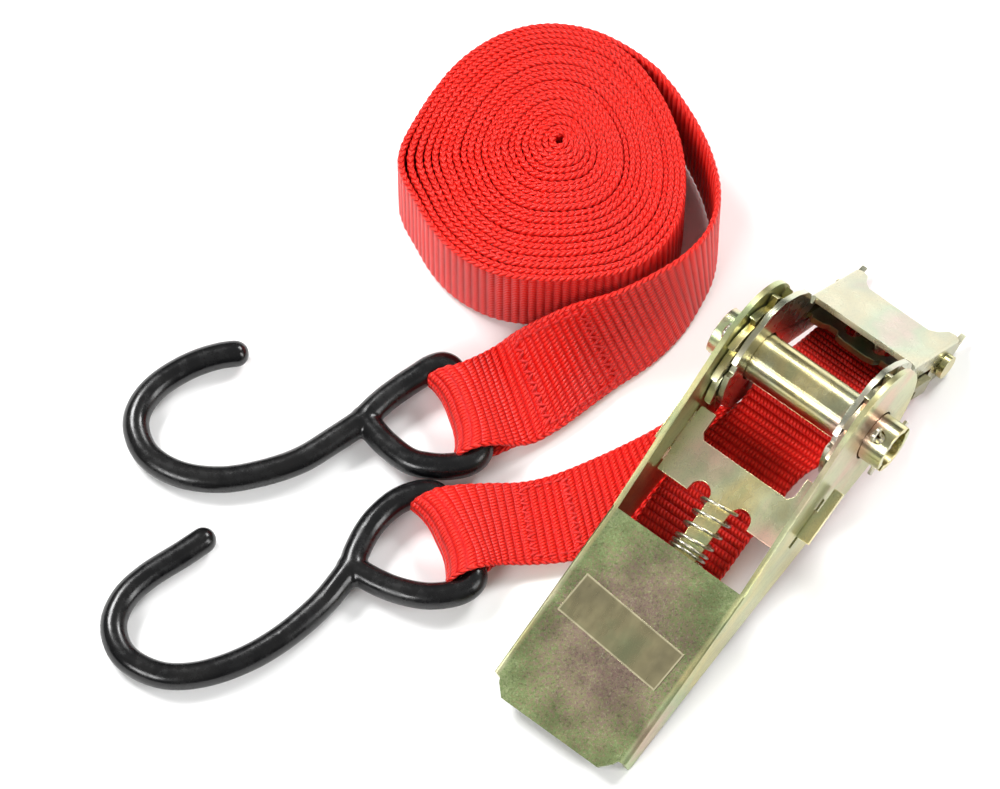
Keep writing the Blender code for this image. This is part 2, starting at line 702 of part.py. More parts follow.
def build_short_strap(parent):
    """From the loop on the hook's eye under the axle to the pin, round it, and back under the handle."""
    centre, across = SHORT_BAR
    around = wrap(centre, across, LOOP_HALF_WIDTH, LOOP_RADIUS, -80, -300, 9)
    flap = below(SHORT_SEWN, UNDERLAY_DROP)
    stations = list(reversed(flap[:2])) + around + SHORT_SEWN + SHORT_FREE
    stations += [beside_axle(*edges) for edges in UNDER_AXLE]
    stations += [across_frame(y * MM, z * MM) for y, z in TO_PIN]
    stations += [across_frame(*point) for point in arc((PIN_Y, PIN_Z), PIN_LOOP_RADIUS, -80, 165, 7)]
    stations += [across_frame(y * MM, z * MM) for y, z in FROM_PIN]
    stations += [beside_axle(*edges) for edges in FLAP]
    ribbon("short_strap", smooth_edges(stations, 2), "webbing", parent)
    build_stitches("short_strap_stitches", SHORT_SEWN[1], SHORT_SEWN[2], parent)


def build_stitches(name, first, second, parent):
    """One run of thread round the sewn patch, just above the webbing."""
    corners = []
    for pair, shares in ((first, (0.12, 0.5, 0.88)), (second, (0.88, 0.5, 0.12))):
        corners += [pair[0].lerp(pair[1], share) for share in shares]
    along = (second[0] + second[1]) - (first[0] + first[1])
    normal = (first[1] - first[0]).cross(along).normalized()
    if normal.z < 0:
        normal = -normal
    lift = WEBBING / 2 + 0.8 * MM
    path = [corner + lift * normal for corner in corners]
    add(name, wire_mesh(name, path, 0.35 * MM, closed=True, resolution=1), "thread", parent)


def local_frame(tilt):
    return Matrix.Translation(AXLE) @ Matrix.Rotation(YAW, 4, "Z") @ Matrix.Rotation(tilt, 4, "X")


clear_scene()
parts = collection("ratchet_tie_down")
helpers = collection("helpers")
base = empty("layout", None, Matrix.Translation(-BOX_CENTRE))
handle_axis = empty("handle_axis", base, local_frame(HANDLE_TILT))
frame_axis = empty("frame_axis", base, local_frame(FRAME_TILT))
spool_axis = empty("spool_axis", base, local_frame(HANDLE_TILT))

build_frame(frame_axis)
build_handle(handle_axis)
build_spool(spool_axis)
build_pawls(handle_axis, frame_axis)
build_springs(handle_axis, frame_axis)
build_hook("long_strap_hook", LONG_SHANK, LONG_EYE, base)
build_hook("short_strap_hook", SHORT_SHANK, SHORT_EYE, base)
build_long_strap(base)
build_short_strap(base)
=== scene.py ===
"""The looks of the ratchet tie down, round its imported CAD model: webbing, stitching, dipped hooks, springs
and the finish of every metal piece. Metres, +Z up, in the model's own frame."""

from math import atan2, cos, exp, hypot, pi, radians, sin

import bmesh
import bpy
from mathutils import Matrix, Vector


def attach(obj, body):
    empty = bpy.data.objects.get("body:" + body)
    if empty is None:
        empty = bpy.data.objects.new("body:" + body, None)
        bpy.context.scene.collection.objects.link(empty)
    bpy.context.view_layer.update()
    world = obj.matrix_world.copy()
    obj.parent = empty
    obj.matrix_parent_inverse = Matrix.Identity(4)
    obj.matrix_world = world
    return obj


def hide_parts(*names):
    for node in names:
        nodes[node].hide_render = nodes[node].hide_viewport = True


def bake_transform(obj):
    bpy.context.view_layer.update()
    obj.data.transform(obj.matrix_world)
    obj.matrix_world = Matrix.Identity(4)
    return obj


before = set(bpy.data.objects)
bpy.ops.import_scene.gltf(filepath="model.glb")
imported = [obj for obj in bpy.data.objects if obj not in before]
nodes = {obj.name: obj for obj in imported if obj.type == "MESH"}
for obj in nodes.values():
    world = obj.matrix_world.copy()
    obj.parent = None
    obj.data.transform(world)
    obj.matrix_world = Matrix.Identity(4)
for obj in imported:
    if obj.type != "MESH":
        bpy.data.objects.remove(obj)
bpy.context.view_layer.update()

MM = 0.001
GAP = 0.3 * MM

# Where the model's parts stand, as in the CAD source
BOX_CENTRE = Vector((8.5, -5.3, 0)) * MM
AXLE = Vector((68.6, -10.9, 26.0)) * MM - BOX_CENTRE
YAW = radians(-38)
HANDLE_TILT = radians(18.8)
FRAME_TILT = radians(-41.2)
PIN_Y = 39.0 * MM
PIN_Z = 5.0 * MM
FRAME_HALF_WIDTH = 14.7 * MM
HANDLE_HALF_WIDTH = 18.3 * MM
WEB_TOP = 10.5 * MM

# Webbing
WIDTH = 25 * MM
WEBBING = 1.3 * MM
ROLLED_SHEET = 1.38 * MM
ROLL_START = 60 * MM
ROW_SPACING = 0.42 * MM
FLAP_DROP = WEBBING + GAP + 0.1 * MM
FLAP_FLOOR = 0.8 * MM
FLAP_INSET = 0.06
RIB = 1.9 * MM
RIB_DEPTH = 0.09 * MM
WIRE_RADIUS = 3.1 * MM
EYE_BAR_Z = 5.0 * MM
HOOK_BOW_Z = 3.15 * MM
LOOP_RADIUS = WIRE_RADIUS + GAP + WEBBING / 2
PIN_LOOP_RADIUS = 2.2 * MM + GAP + WEBBING / 2
LOOP_HALF_WIDTH = 10.8 * MM
LOOP_PULL = 2.3 * MM
LOOP_REACH = 9 * MM
GATHER = 0.42 * MM
STRAP_HALF_WIDTH = WIDTH / 2
TURNS = 22
GRIP_MIDDLE = (0, -71 * MM, WEB_TOP)
GRIP_HALF_WIDTH, GRIP_HALF_LENGTH = 19 * MM, 27 * MM
LABEL_MIDDLE = (0, -68.3 * MM, 10.6 * MM)
LABEL_TURN = radians(-4.5)
LABEL_HALF_LENGTH, LABEL_HALF_WIDTH = 14.4 * MM, 5.2 * MM

# The plating's colours, as (share, colour) along a drifting film
STRAW, GREEN, PINK, MOSS = (0.70, 0.60, 0.29), (0.46, 0.56, 0.30), (0.68, 0.45, 0.35), (0.56, 0.57, 0.35)
PALE_STOPS = [(0.33, PINK), (0.42, GREEN), (0.50, STRAW), (0.58, MOSS), (0.67, PINK)]
GRIP_STOPS = [
    (0.10, (0.30, 0.19, 0.17)), (0.30, (0.35, 0.25, 0.20)), (0.46, (0.34, 0.31, 0.16)),
    (0.62, (0.24, 0.335, 0.13)), (0.90, (0.38, 0.44, 0.22)),
]

# The weave's coordinates in millimetres: along the strap, and round its section (face, edge, face, edge)
EDGE_UV = 2.0
FACE_UV = 25.0
LAYER_UV = FACE_UV + EDGE_UV
YARN_PITCH = 0.98
CHAIN_PITCH = 1.5

# Springs: radius, wire radius, and where each coil starts, tightens and ends along its slide
DRIVE_SPRING = (4.4 * MM, 0.4 * MM, -32.1 * MM, -43.3 * MM, -46.2 * MM, 3.0 * MM, 3.5, 2.5)
STATIC_SPRING = (2.95 * MM, 0.3 * MM, 25.4 * MM, 27.6 * MM, 29.1 * MM, 4.5 * MM, 1.5, 1.5)


def table(x, y, z):
    """A point measured in millimetres on the table, in the model's frame."""
    return Vector((x, y, z)) * MM - BOX_CENTRE


def station(left, right):
    return table(*left), table(*right)


def local_frame(tilt):
    return Matrix.Translation(AXLE) @ Matrix.Rotation(YAW, 4, "Z") @ Matrix.Rotation(tilt, 4, "X")


def across_frame(y, z):
    turn = local_frame(FRAME_TILT)
    return turn @ Vector((-STRAP_HALF_WIDTH, y, z)), turn @ Vector((STRAP_HALF_WIDTH, y, z))


def beside_axle(left, right):
    turn = Matrix.Translation((AXLE.x, AXLE.y, 0)) @ Matrix.Rotation(YAW, 4, "Z")
    return turn @ (Vector(left) * MM), turn @ (Vector(right) * MM)


def below(stations, drop):
    """The same stations, moved under the strap's own surface."""
    moved = []
    for i, (left, right) in enumerate(stations):
        before = stations[max(i - 1, 0)]
        after = stations[min(i + 1, len(stations) - 1)]
        along = (after[0] + after[1]) - (before[0] + before[1])
        normal = (right - left).cross(along).normalized()
        if normal.z < 0:
            normal = -normal
        edges = (left.lerp(right, FLAP_INSET) - drop * normal, right.lerp(left, FLAP_INSET) - drop * normal)
        moved.append(tuple(Vector((p.x, p.y, max(p.z, FLAP_FLOOR))) for p in edges))
    return moved


def wrap(centre, across, half_width, radius, start, end, steps):
    """Stations round a bar, from one angle to another; 180 degrees is the side away from the strap."""
    out = Vector((-across.y, across.x, 0))
    stations = []
    for i in range(steps + 1):
        turn = radians(start + (end - start) * i / steps)
        middle = centre + radius * (cos(turn) * out + sin(turn) * Vector((0, 0, 1)))
        stations.append((middle - half_width * across, middle + half_width * across))
    return stations


def smooth_path(points, steps, closed=False):
    """Points along a smooth curve through the given ones (Catmull-Rom)."""
    count = len(points)
    path = []
    for i in range(count if closed else count - 1):
        if closed:
            a, b, c, d = (points[(i + k) % count] for k in (-1, 0, 1, 2))
        else:
            a, b, c, d = (points[min(max(i + k, 0), count - 1)] for k in (-1, 0, 1, 2))
        for step in range(steps):
            t = step / steps
            bend, twist = 2 * a - 5 * b + 4 * c - d, 3 * b - a - 3 * c + d
            path.append(0.5 * (2 * b + (c - a) * t + bend * t**2 + twist * t**3))
    if not closed:
        path.append(points[-1])
    return path


# ---------------------------------------------------------------- Materials


class Nodes:
    """Short calls for building a node tree."""

    def __init__(self, name):
        self.material = bpy.data.materials.new(name)
        self.material.use_nodes = True
        self.tree = self.material.node_tree
        self.shader = self.tree.nodes["Principled BSDF"]

    def set(self, **values):
        for name, value in values.items():
            self.shader.inputs[name.replace("_", " ")].default_value = value

    def add(self, kind, **settings):
        node = self.tree.nodes.new(kind)
        for name, value in settings.items():
            setattr(node, name, value)
        return node

    def plug(self, value, socket):
        if isinstance(value, bpy.types.NodeSocket):
            self.tree.links.new(value, socket)
        elif value is not None:
            socket.default_value = value

    def math(self, operation, a, b=None, c=None):
        node = self.add("ShaderNodeMath", operation=operation)
        for value, socket in zip((a, b, c), node.inputs):
            self.plug(value, socket)
        return node.outputs[0]

    def between(self, value, low, high, to_low=0.0, to_high=1.0):
        node = self.add("ShaderNodeMapRange", interpolation_type="SMOOTHSTEP")
        for number, socket in zip((value, low, high, to_low, to_high), node.inputs):
            self.plug(number, socket)
        return node.outputs[0]

    def mix(self, share, a, b, blend="MIX"):
        node = self.add("ShaderNodeMix", data_type="RGBA", blend_type=blend)
        self.plug(share, node.inputs["Factor"])
        for value, name in ((a, "A"), (b, "B")):
            socket = next(s for s in node.inputs if s.name == name and s.type == "RGBA")
            self.plug((*value, 1) if isinstance(value, tuple) else value, socket)
        return next(s for s in node.outputs if s.type == "RGBA")

    def ramp(self, value, stops):
        node = self.add("ShaderNodeValToRGB")
        elements = node.color_ramp.elements
        while len(elements) < len(stops):
            elements.new(0.5)
        for element, (place, colour) in zip(elements, stops):
            element.position = place
            element.color = (*colour, 1)
        self.plug(value, node.inputs[0])
        return node.outputs[0]

    def noise(self, vector, scale, detail=2.0, roughness=0.5):
        node = self.add("ShaderNodeTexNoise")
        self.plug(vector, node.inputs["Vector"])
        node.inputs["Scale"].default_value = scale
        node.inputs["Detail"].default_value = detail
        node.inputs["Roughness"].default_value = roughness
        return node.outputs["Fac"]

    def place(self):
        return self.add("ShaderNodeTexCoord").outputs["Object"]

    def local(self, tilt, middle=(0, 0, 0), turn=0.0):
        """Separate X, Y and Z, measured in one of the ratchet's own frames from a point in it."""
        here = local_frame(tilt) @ Matrix.Translation(middle) @ Matrix.Rotation(turn, 4, "Z")
        node = self.add("ShaderNodeMapping", vector_type="TEXTURE")
        self.plug(self.place(), node.inputs["Vector"])
        node.inputs["Location"].default_value = here.to_translation()
        node.inputs["Rotation"].default_value = here.to_euler()
        split = self.add("ShaderNodeSeparateXYZ")
        self.plug(node.outputs[0], split.inputs[0])
        return split.outputs

    def stretched(self, vector, turn, scale):
        node = self.add("ShaderNodeMapping", vector_type="TEXTURE")
        self.plug(vector, node.inputs["Vector"])
        node.inputs["Rotation"].default_value = turn
        node.inputs["Scale"].default_value = scale
        return node.outputs[0]

    def bump(self, height, distance, strength=1.0):
        node = self.add("ShaderNodeBump")
        node.inputs["Strength"].default_value = strength
        node.inputs["Distance"].default_value = distance
        self.plug(height, node.inputs["Height"])
        return node.outputs[0]

    def finish(self, colour, roughness, normal):
        for value, name in ((colour, "Base Color"), (roughness, "Roughness"), (normal, "Normal")):
            self.plug(value, self.shader.inputs[name])
        return self.material


def webbing_material(name, dark, bright, lift):
    """Polyester webbing: cross ribs of slanted yarn on its faces and a chain of loops along its edges. Its
    colour carries painted shade in the weave's valleys and painted highlight on its ridges.
    """
    n = Nodes(name)
    uv = n.add("ShaderNodeUVMap", uv_map="weave").outputs[0]
    split = n.add("ShaderNodeSeparateXYZ")
    n.plug(uv, split.inputs[0])
    along, around = split.outputs[0], split.outputs[1]
    across = n.math("MODULO", around, LAYER_UV)
    edge = n.math("GREATER_THAN", across, FACE_UV)

    rib = n.math("DIVIDE", along, RIB / MM)
    row = n.math("FLOOR", rib)
    in_rib = n.math("FRACT", rib)
    shift = n.math("MULTIPLY", n.math("MODULO", row, 2.0), 0.5)
    lean = n.math("MULTIPLY", in_rib, 0.55)
    yarn = n.math("FRACT", n.math("ADD", n.math("ADD", n.math("DIVIDE", across, YARN_PITCH), shift), lean))
    rib_height = n.math("SINE", n.math("MULTIPLY", in_rib, pi))
    yarn_height = n.math("POWER", n.math("SINE", n.math("MULTIPLY", yarn, pi)), 0.6)
    face_height = n.math("MULTIPLY", rib_height, n.math("MULTIPLY_ADD", yarn_height, 0.78, 0.22))

    middle = n.math("ABSOLUTE", n.math("SUBTRACT", across, FACE_UV + EDGE_UV / 2))
    slant = n.math("MULTIPLY", middle, 0.75)
    chain = n.math("FRACT", n.math("ADD", n.math("DIVIDE", along, CHAIN_PITCH), slant))
    loop = n.math("POWER", n.math("SINE", n.math("MULTIPLY", chain, pi)), 0.6)
    groove = n.between(middle, 0.0, 0.2, 0.6, 1.0)
    edge_height = n.math("MULTIPLY", loop, groove)

    mixed = n.add("ShaderNodeMix", data_type="FLOAT")
    n.plug(edge, mixed.inputs[0])
    n.plug(face_height, mixed.inputs[2])
    n.plug(edge_height, mixed.inputs[3])
    height = mixed.outputs[0]

    fibres = n.noise(n.place(), 5200.0, 3.0, 0.6)
    patches = n.noise(n.place(), 70.0, 3.0, 0.6)
    halfway = tuple(0.5 * (d + b) for d, b in zip(dark, bright))
    # Painted shade and painted highlight: the red goes dark in the valleys of the ribs, yarns and edge loops,
    # and bright on their ridges
    painted_rib_shading = n.ramp(height, [(0.05, dark), (0.5, halfway), (0.92, bright)])
    lifted = n.mix(n.between(patches, 0.35, 0.7, 0.0, 0.5), painted_rib_shading, lift, "SOFT_LIGHT")
    spun = n.mix(n.between(fibres, 0.3, 0.7, 0.0, 0.32), lifted, dark)
    roughness = n.between(fibres, 0.2, 0.8, 0.3, 0.46)
    normal = n.bump(n.math("MULTIPLY_ADD", fibres, 0.14, height), 0.5 * MM, 1.0)
    n.set(Specular_IOR_Level=0.34, Sheen_Weight=0.06, Sheen_Roughness=0.35, Sheen_Tint=(1.0, 0.3, 0.25, 1))
    return n.finish(spun, roughness, normal)


def thread_material():
    """Twisted polyester thread."""
    n = Nodes("red_thread")
    place = n.place()
    twist = n.noise(n.stretched(place, (0.3, 0.2, 0.6), (0.2, 1.0, 1.0)), 3600.0, 2.0)
    colour = n.mix(n.between(twist, 0.35, 0.65), (0.44, 0.002, 0.002), (0.8, 0.016, 0.012))
    n.set(Sheen_Weight=0.2, Sheen_Roughness=0.4, Specular_IOR_Level=0.4)
    return n.finish(colour, n.between(twist, 0.3, 0.7, 0.4, 0.6), n.bump(twist, 0.1 * MM, 0.6))


def plated_material(name, roughness, tone=1.0, wash=0.0, grip=False, shade=(0.46, 0.44, 0.34)):
    """Passivated zinc: colours that drift over the sheet, rolling marks, specks, and worn scratches. Tone
    makes them lighter or darker, and wash greyer. The grip is green round its rim and mauve in the middle."""
    n = Nodes(name)
    place = n.place()
    drift = n.noise(n.stretched(place, (0, 0, YAW), (0.7, 1.6, 1.0)), 36.0, 3.0, 0.5)
    second = n.noise(place, 95.0, 3.0, 0.6)
    film = n.math("ADD", n.math("MULTIPLY", drift, 0.84), n.math("MULTIPLY", second, 0.16))
    stops = [(at, tuple(tone * part for part in stop)) for at, stop in PALE_STOPS]
    colour = n.mix(wash, n.ramp(film, stops), (0.56, 0.58, 0.52))
    if grip:
        x, y, _ = n.local(HANDLE_TILT, GRIP_MIDDLE)
        sides = n.math("ABSOLUTE", x)
        beside = n.math("POWER", n.math("DIVIDE", sides, GRIP_HALF_WIDTH), 2.0)
        beyond = n.math("POWER", n.math("DIVIDE", n.math("ABSOLUTE", y), GRIP_HALF_LENGTH), 2.0)
        out = n.math("MULTIPLY", n.math("ADD", beside, beyond), 0.45)
        rim = n.math("ADD", out, n.math("MULTIPLY_ADD", film, 0.8, -0.25))
        speckle = n.between(n.noise(place, 1500.0, 4.0, 0.85), 0.36, 0.64, -0.2, 0.2)
        film_colour = n.ramp(n.math("ADD", rim, speckle), GRIP_STOPS)
        pits = n.between(n.noise(place, 1300.0, 3.0, 0.8), 0.52, 0.66, 0.0, 0.5)
        glints = n.between(n.noise(place, 1750.0, 3.0, 0.8), 0.54, 0.67, 0.0, 0.36)
        plate = n.mix(glints, n.mix(pits, film_colour, (0.09, 0.10, 0.05)), (0.66, 0.68, 0.42))
        colour = n.mix(n.between(sides, 16.6 * MM, 17.4 * MM), plate, n.mix(0.25, colour, plate))
    grain = n.noise(n.stretched(place, (0, 0, YAW), (0.12, 9.0, 1.0)), 900.0, 3.0, 0.65)
    specks = n.noise(place, 3600.0, 2.0, 0.75)
    scuffs = n.noise(n.stretched(place, (0.4, 0.9, YAW + 0.7), (0.06, 3.5, 3.5)), 420.0, 4.0, 0.7)
    dulled = n.mix(n.between(grain, 0.42, 0.68, 0.0, 0.22), colour, shade)
    speckled = n.mix(n.between(specks, 0.5, 0.7, 0.0, 0.34), dulled, tuple(0.6 * s for s in shade))
    scuffed = n.mix(n.between(scuffs, 0.66, 0.74, 0.0, 0.35), speckled, (0.86, 0.84, 0.76))
    rough = n.math(
        "ADD",
        n.between(second, 0.3, 0.7, roughness - 0.05, roughness + 0.07),
        n.between(scuffs, 0.66, 0.74, 0.0, 0.12),
    )
    height = n.math("ADD", n.math("MULTIPLY", grain, 0.7), n.math("MULTIPLY", specks, 0.3))
    n.set(Metallic=1.0)
    return n.finish(scuffed, rough, n.bump(height, 0.03 * MM, 0.6))


def wire_material():
    """Bright drawn spring wire with a thin straw tint."""
    n = Nodes("spring_wire")
    place = n.place()
    tint = n.noise(place, 300.0, 2.0)
    draw = n.noise(n.stretched(place, (0.2, 0.1, 0.5), (0.15, 2.0, 2.0)), 2400.0, 2.0)
    colour = n.ramp(tint, [(0.35, (0.42, 0.40, 0.34)), (0.5, (0.56, 0.52, 0.40)), (0.66, (0.40, 0.41, 0.40))])
    n.set(Metallic=1.0)
    return n.finish(colour, n.between(draw, 0.3, 0.7, 0.2, 0.36), n.bump(draw, 0.01 * MM, 0.5))


def vinyl_material():
    """Thick glossy black dip coating, with a slight orange peel, drips and dust."""
    n = Nodes("black_vinyl")
    place = n.place()
    peel = n.noise(place, 420.0, 2.0, 0.4)
    waves = n.noise(place, 110.0, 2.0, 0.5)
    dust = n.noise(place, 3400.0, 2.0, 0.7)
    rubbed = n.noise(place, 240.0, 4.0, 0.7)
    base = n.mix(n.between(waves, 0.35, 0.65), (0.0025, 0.0025, 0.003), (0.006, 0.0058, 0.006))
    dusty = n.mix(n.between(dust, 0.7, 0.78, 0.0, 0.1), base, (0.16, 0.15, 0.15))
    roughness = n.math(
        "ADD", n.between(rubbed, 0.4, 0.68, 0.2, 0.34), n.between(dust, 0.68, 0.76, 0.0, 0.2)
    )
    height = n.math("ADD", n.math("MULTIPLY", peel, 0.35), n.math("MULTIPLY", waves, 1.6))
    n.set(Specular_IOR_Level=0.42)
    return n.finish(dusty, roughness, n.bump(height, 0.16 * MM, 0.5))


def label_material():
    """A blank foil label: clear, yellowed, with fine wrinkles and a pale cut edge."""
    n = Nodes("blank_label")
    place = n.place()
    clouds = n.noise(place, 90.0, 3.0, 0.55)
    wrinkles = n.noise(n.stretched(place, (0, 0, YAW), (1.0, 4.0, 1.0)), 260.0, 3.0, 0.6)
    foil = n.ramp(clouds, [(0.32, (0.24, 0.21, 0.12)), (0.5, (0.31, 0.27, 0.15)), (0.7, (0.25, 0.26, 0.14))])
    x, y, _ = n.local(HANDLE_TILT, LABEL_MIDDLE, LABEL_TURN)
    past_end = n.math("SUBTRACT", n.math("ABSOLUTE", x), LABEL_HALF_LENGTH)
    past_side = n.math("SUBTRACT", n.math("ABSOLUTE", y), LABEL_HALF_WIDTH)
    rim = n.math("MAXIMUM", past_end, past_side)
    colour = n.mix(n.between(rim, -0.5 * MM, -0.25 * MM), foil, (0.62, 0.56, 0.36))
    n.set(Metallic=0.8, Coat_Weight=0.4, Coat_Roughness=0.1)
    return n.finish(colour, n.between(wrinkles, 0.3, 0.7, 0.24, 0.36), n.bump(wrinkles, 0.05 * MM, 0.4))


# ---------------------------------------------------------------- Meshes


def show(name, mesh, material):
    mesh.materials.clear()
    mesh.materials.append(material)
    mesh.shade_smooth()
    made = bpy.data.objects.new(name, mesh)
    bpy.context.scene.collection.objects.link(made)
    return made


def section(cross_steps):
    """Points round the webbing's section: (share across, side of the sheet, bulge past the edge, UV)."""
    ring = []
    for i in range(cross_steps + 1):
        ring.append((i / cross_steps, 1.0, 0.0, FACE_UV * i / cross_steps))
    for i in (1, 2, 3):
        turn = pi / 4 * i
        ring.append((1.0, cos(turn), sin(turn), FACE_UV + EDGE_UV * i / 4))
    for i in range(cross_steps + 1):
        ring.append((1 - i / cross_steps, -1.0, 0.0, LAYER_UV + FACE_UV * i / cross_steps))
    for i in (1, 2, 3):
        turn = pi / 4 * i
        ring.append((0.0, -cos(turn), -sin(turn), LAYER_UV + FACE_UV + EDGE_UV * i / 4))
    return ring


class Strap:
    """A length of webbing along stations, each a pair of edge points. Its upper face is the one that points
    up nearest to the place up_at."""

    def __init__(self, stations, up_at, spacing):
        middles = [(a + b) / 2 for a, b in stations]
        reach = [0.0]
        for first, second in zip(middles, middles[1:]):
            reach.append(reach[-1] + (second - first).length)
        self.length = reach[-1]
        count = max(2, round(self.length / spacing))
        self.rows = []
        k = 0
        for i in range(count + 1):
            target = self.length * i / count
            while k < len(reach) - 2 and reach[k + 1] < target:
                k += 1
            t = (target - reach[k]) / max(reach[k + 1] - reach[k], 1e-9)
            left = stations[k][0].lerp(stations[k + 1][0], t)
            right = stations[k][1].lerp(stations[k + 1][1], t)
            self.rows.append((target, left, right))
        self.normals = []
        for i, (_, left, right) in enumerate(self.rows):
            before, after = self.rows[max(i - 1, 0)], self.rows[min(i + 1, count)]
            along = (after[1] + after[2]) - (before[1] + before[2])
            self.normals.append((right - left).cross(along).normalized())
        gaps = [((left + right) / 2 - up_at).length for _, left, right in self.rows]
        if self.normals[gaps.index(min(gaps))].z < 0:
            self.normals = [-normal for normal in self.normals]

    def at(self, distance, share):
        """(point on the middle surface, normal) at a distance along and a share across."""
        place = min(max(distance / self.length, 0), 1) * (len(self.rows) - 1)
        i = min(int(place), len(self.rows) - 2)
        t = place - i
        edges = [self.rows[i][side].lerp(self.rows[i + 1][side], t) for side in (1, 2)]
        return edges[0].lerp(edges[1], share), self.normals[i].lerp(self.normals[i + 1], t).normalized()

    def distance_near(self, point):
        return min(self.rows, key=lambda row: ((row[1] + row[2]) / 2 - point).length)[0]


def strap_mesh(name, strap, thickness_at, cross_steps, bar, crown_height):
    """The closed mesh of a strap: rounded edges, raised ribs, small gathers where it is pulled narrow, and
    its corners drawn back where it turns round the hook's bar."""
    shape = bmesh.new()
    weave = shape.loops.layers.uv.new("weave")
    ring = section(cross_steps)
    bar_centre, bar_across = bar
    away = Vector((bar_across.y, -bar_across.x, 0))
    bar_place = strap.distance_near(bar_centre + away * LOOP_RADIUS)
    rings = []
    for i, (distance, left, right) in enumerate(strap.rows):
        half = thickness_at(distance, (left + right) / 2) / 2
        pull = LOOP_PULL * exp(-(((distance - bar_place) / LOOP_REACH) ** 4))
        across = (right - left).normalized()
        normal = strap.normals[i]
        width = (right - left).length
        inner_left, inner_right = left + half * across, right - half * across
        squeeze = min(max((0.92 * WIDTH - width) / (0.3 * WIDTH), 0), 1)
        rib = -RIB_DEPTH * cos(2 * pi * distance / RIB)
        verts = []
        for share, side, bulge, _ in ring:
            gather = GATHER * squeeze * (0.5 - 0.5 * cos(2 * pi * 3 * share)) if 0 < share < 1 else 0.0
            crown = crown_height * sin(pi * share)
            point = inner_left.lerp(inner_right, share) + away * pull * abs(2 * share - 1) ** 3
            point = point + across * bulge * (half + rib)
            point = point + normal * (side * (half + rib) + gather + crown)
            verts.append(shape.verts.new(point))
        rings.append(verts)
    count = len(ring)
    for i, (first, second) in enumerate(zip(rings, rings[1:])):
        for k in range(count):
            following = (k + 1) % count
            face = shape.faces.new((first[k], first[following], second[following], second[k]))
            around = ring[k][3]
            after = ring[following][3] if following else 2 * LAYER_UV
            reach = [strap.rows[j][0] / MM for j in (i, i + 1)]
            for loop, place in zip(face.loops, ((0, around), (0, after), (1, after), (1, around))):
                loop[weave].uv = (reach[place[0]], place[1])
    for verts, j in ((rings[0], 0), (rings[-1], -1)):
        face = shape.faces.new(verts)
        for loop, point in zip(face.loops, ring):
            loop[weave].uv = (strap.rows[j][0] / MM, FACE_UV + EDGE_UV / 2)
    bmesh.ops.recalc_face_normals(shape, faces=shape.faces)
    mesh = bpy.data.meshes.new(name)
    shape.to_mesh(mesh)
    shape.free()
    return mesh


def tube(name, path, radius, resolution, closed=False, tip=()):
    """A round tube along a path, with its end caps closed. The tip is the share of the radius at each of the
    first points."""
    curve = bpy.data.curves.new(name, "CURVE")
    curve.dimensions = "3D"
    curve.bevel_depth = radius
    curve.bevel_resolution = resolution
    curve.use_fill_caps = True
    spline = curve.splines.new("POLY")
    spline.points.add(len(path) - 1)
    spline.use_cyclic_u = closed
    for point, place in zip(spline.points, path):
        point.co = (*place, 1)
    for point, share in zip(spline.points, tip):
        point.radius = share
    holder = bpy.data.objects.new(name, curve)
    bpy.context.scene.collection.objects.link(holder)
    graph = bpy.context.evaluated_depsgraph_get()
    mesh = bpy.data.meshes.new_from_object(holder.evaluated_get(graph))
    bpy.data.objects.remove(holder)
    shape = bmesh.new()
    shape.from_mesh(mesh)
    bmesh.ops.remove_doubles(shape, verts=shape.verts, dist=1e-7)
    bmesh.ops.recalc_face_normals(shape, faces=shape.faces)
    shape.to_mesh(mesh)
    shape.free()
    return mesh


def applied(obj):
    """The object with its modifiers made part of its mesh."""
    graph = bpy.context.evaluated_depsgraph_get()
    mesh = bpy.data.meshes.new_from_object(obj.evaluated_get(graph))
    obj.modifiers.clear()
    obj.data = mesh
    return obj


def stitch(shape, strap, lift, first, second, radius):
    """One stitch of thread: a small arched capsule between two (distance, share) places on the strap."""
    steps, sides, flatness = 8, 8, 0.75

    def on_strap(t):
        return strap.at(*(a + (b - a) * t for a, b in zip(first, second)))

    rings = []
    for i in range(steps + 1):
        t = i / steps
        place, normal = on_strap(t)
        ahead, _ = on_strap(t + 0.01)
        along = (ahead - place).normalized()
        side = normal.cross(along).normalized()
        arch = sin(pi * t)
        centre = place + normal * (lift - flatness * radius + 0.8 * radius * arch)
        size = radius * max(arch, 0.02) ** 0.45
        turns = [2 * pi * k / sides for k in range(sides)]
        offsets = [size * (cos(turn) * side + flatness * sin(turn) * normal) for turn in turns]
        rings.append([shape.verts.new(centre + offset) for offset in offsets])
    for near, far in zip(rings, rings[1:]):
        for k in range(sides):
            shape.faces.new((near[k], near[(k + 1) % sides], far[(k + 1) % sides], far[k]))
    shape.faces.new(rings[0])
    shape.faces.new(rings[-1])


def stitched_patch(name, strap, start, end, material):
    """A sewn patch: a zigzag line across each end, and two plain lines along it."""
    shape = bmesh.new()
    lift = WEBBING / 2 + 0.16 * MM
    zig, low, high = 1.15 * MM, 0.09, 0.91
    across_count, along_step = 15, 2.6 * MM
    for middle in (start, end):
        for i in range(across_count):
            shares = [low + (high - low) * k / across_count for k in (i + 0.04, i + 0.96)]
            swing = zig if i % 2 else -zig
            stitch(shape, strap, lift, (middle - swing, shares[0]), (middle + swing, shares[1]), 0.34 * MM)
    count = max(2, round((end - start) / along_step))
    for share in (low, high):
        for i in range(count):
            places = [start + (end - start) * k / count for k in (i + 0.08, i + 0.92)]
            stitch(shape, strap, lift, (places[0], share), (places[1], share), 0.32 * MM)
    bmesh.ops.recalc_face_normals(shape, faces=shape.faces)
    mesh = bpy.data.meshes.new(name)
    shape.to_mesh(mesh)
    shape.free()
    return show(name, mesh, material)


# ---------------------------------------------------------------- The straps' routes, as in the CAD source

